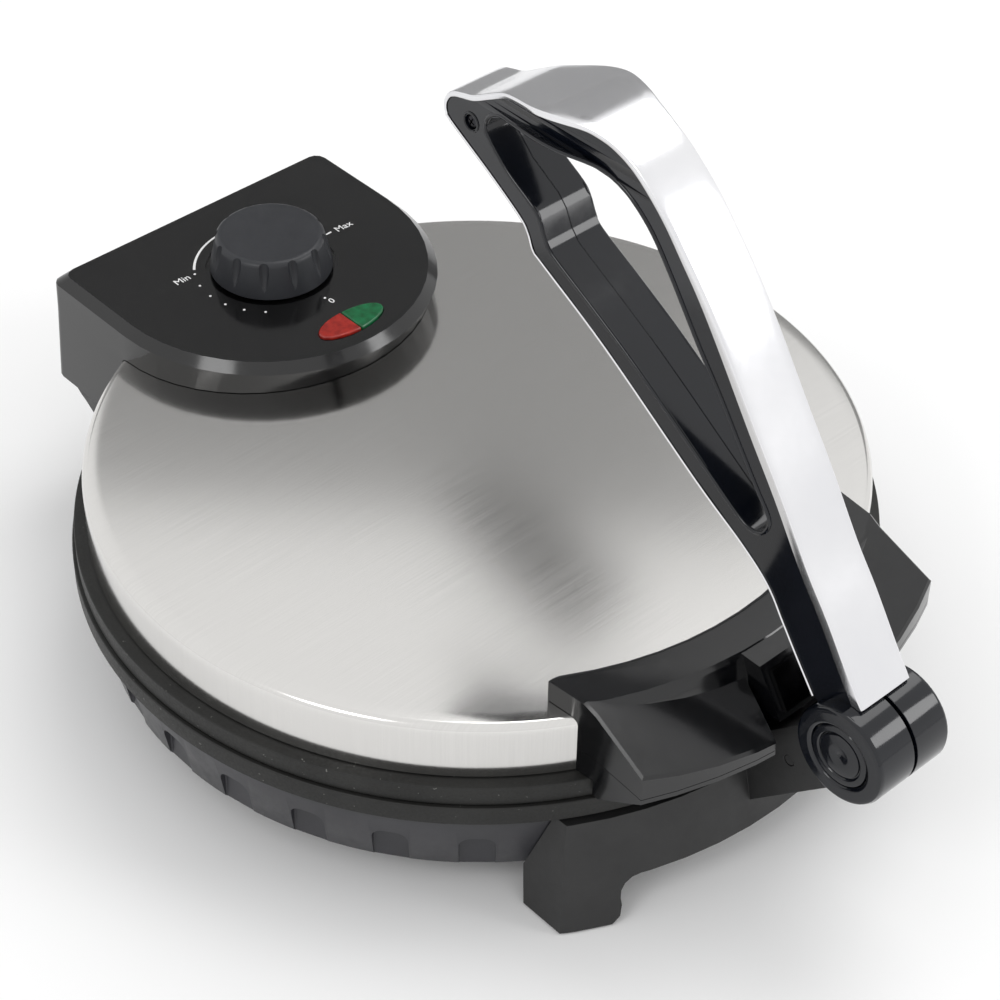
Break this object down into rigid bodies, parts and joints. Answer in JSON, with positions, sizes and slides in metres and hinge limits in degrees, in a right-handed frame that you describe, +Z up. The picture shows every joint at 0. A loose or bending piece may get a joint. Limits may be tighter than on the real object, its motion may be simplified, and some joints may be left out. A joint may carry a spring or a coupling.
{
  "type": "tortilla maker",
  "caption": "Electric flatbread and tortilla maker: round hinged lid over heated plates, front press lever, rear control panel.",
  "frame": {"origin": "centre of the footprint's bounding box, on the table that the foot pads rest on", "axes": "+X to the right seen from the front, +Y from the lever's pivot at the front to the control panel at the rear, +Z up"},
  "size_m": [0.334, 0.4268, 0.289],
  "materials": {
    "base_shell": "satin black moulding",
    "bottom_cover": "satin black sheet",
    "base_screw_1": "zinc-plated steel",
    "base_screw_2": "zinc-plated steel",
    "base_screw_3": "zinc-plated steel",
    "lower_plate": "cast aluminium with a dark non-stick coating",
    "lower_heating_element": "oxidised steel tube",
    "front_leg_block": "matte black moulding",
    "rear_leg_block": "matte black moulding",
    "foot_pad_front_left": "matte rubber",
    "foot_pad_front_right": "matte rubber",
    "foot_pad_rear_left": "matte rubber",
    "foot_pad_rear_right": "matte rubber",
    "lever_hinge_plate": "bright steel",
    "strut_rivet": "bright steel",
    "lever_pivot_pin": "ground steel",
    "hinge_pin_left": "ground steel",
    "hinge_pin_right": "ground steel",
    "cord_gland": "matte black rubber",
    "terminal_block": "white ceramic",
    "lid_cover": "stainless steel brushed from side to side",
    "upper_plate": "cast aluminium with a dark non-stick coating",
    "upper_heating_element": "oxidised steel tube",
    "front_handle_top": "glossy black",
    "front_handle_bottom": "satin black",
    "handle_screw_left": "zinc-plated steel",
    "handle_screw_right": "zinc-plated steel",
    "press_pad": "bright steel",
    "control_housing": "glossy black",
    "lamp_lens_red": "clear red, polished",
    "lamp_lens_green": "clear green, polished",
    "lamp_bulb_red": "small neon bulb",
    "lamp_bulb_green": "small neon bulb",
    "lamp_holder": "off-white",
    "thermostat": "plain metal",
    "lid_hinge_bracket": "zinc-plated steel",
    "bracket_screw_left": "zinc-plated steel",
    "bracket_screw_right": "zinc-plated steel",
    "temperature_knob": "matte black",
    "thermostat_shaft": "plain steel",
    "lever_band": "polished chrome plating",
    "lever_half_left": "glossy black",
    "lever_half_right": "glossy black",
    "hub_cap_left": "glossy black",
    "hub_cap_right": "glossy black",
    "press_roller": "turned steel",
    "roller_pin": "plain steel",
    "lever_tip_screw": "zinc-plated steel"
  },
  "bodies": {
    "base": {"base_shell": "base_shell", "bottom_cover": "bottom_cover", "base_screw_1": "base_screw_1", "base_screw_2": "base_screw_2", "base_screw_3": "base_screw_3", "lower_plate": "lower_plate", "lower_heating_element": "lower_heating_element", "front_leg_block": "front_leg_block", "rear_leg_block": "rear_leg_block", "foot_pad_front_left": "foot_pad_front_left", "foot_pad_front_right": "foot_pad_front_right", "foot_pad_rear_left": "foot_pad_rear_left", "foot_pad_rear_right": "foot_pad_rear_right", "lever_hinge_plate": "lever_hinge_plate", "strut_rivet": "strut_rivet", "lever_pivot_pin": "lever_pivot_pin", "hinge_pin_left": "hinge_pin_left", "hinge_pin_right": "hinge_pin_right", "cord_gland": "cord_gland", "terminal_block": "terminal_block"},
    "lid": {"lid_cover": "lid_cover", "upper_plate": "upper_plate", "upper_heating_element": "upper_heating_element", "front_handle_top": "front_handle_top", "front_handle_bottom": "front_handle_bottom", "handle_screw_left": "handle_screw_left", "handle_screw_right": "handle_screw_right", "press_pad": "press_pad", "control_housing": "control_housing", "lamp_lens_red": "lamp_lens_red", "lamp_lens_green": "lamp_lens_green", "lamp_bulb_red": "lamp_bulb_red", "lamp_bulb_green": "lamp_bulb_green", "lamp_holder": "lamp_holder", "thermostat": "thermostat", "lid_hinge_bracket": "lid_hinge_bracket", "bracket_screw_left": "bracket_screw_left", "bracket_screw_right": "bracket_screw_right"},
    "knob": {"temperature_knob": "temperature_knob", "thermostat_shaft": "thermostat_shaft"},
    "lever": {"lever_band": "lever_band", "lever_half_left": "lever_half_left", "lever_half_right": "lever_half_right", "hub_cap_left": "hub_cap_left", "hub_cap_right": "hub_cap_right", "press_roller": "press_roller", "roller_pin": "roller_pin", "lever_tip_screw": "lever_tip_screw"}
  },
  "joints": [
    {"name": "lever_hinge", "type": "hinge", "parent": "base", "child": "lever", "pos_m": [0, -0.1929, 0.0925], "axis": [1, 0, 0], "range_deg": [0, 146]},
    {"name": "lid_hinge", "type": "hinge", "parent": "base", "child": "lid", "pos_m": [0, 0.1994, 0.0503], "axis": [-1, 0, 0], "range_deg": [0, 95]},
    {"name": "knob_turn", "type": "hinge", "parent": "lid", "child": "knob", "pos_m": [0, 0.1531, 0.1123], "axis": [0, 0, -1], "range_deg": [0, 270]}
  ],
  "couplings": [
    {"joint": "lid_hinge", "follows": "lever_hinge", "ratio": 0.65}
  ]
}
